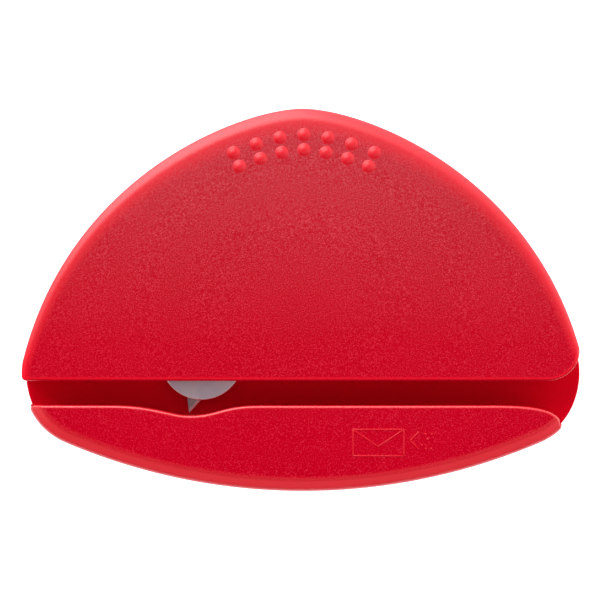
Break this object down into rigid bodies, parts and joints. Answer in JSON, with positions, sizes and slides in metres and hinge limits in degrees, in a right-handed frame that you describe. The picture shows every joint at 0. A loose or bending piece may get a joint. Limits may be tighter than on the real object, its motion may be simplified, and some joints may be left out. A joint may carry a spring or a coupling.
{
  "type": "handheld letter opener",
  "caption": "Half-moon handheld letter opener: a hollow plastic body with a slot right across it, where a steel guard disc shields the tip of a fixed blade.",
  "frame": {"origin": "on the flat back, under the middle of the body's bounding box", "axes": "+X along the slot towards its flared mouth, +Y from the keel to the finger rest, +Z out of the front face; it lies on its back"},
  "size_m": [0.0918, 0.0624, 0.012],
  "materials": {
    "red_plastic": "fine spark-eroded grain, satin",
    "blade_steel": "ground",
    "disc_steel": "satin"
  },
  "bodies": {
    "root": {"rear_shell": "red_plastic", "dome_cover": "red_plastic", "keel_cover": "red_plastic", "cutter_blade": "blade_steel", "guard_disc": "disc_steel"}
  },
  "joints": []
}
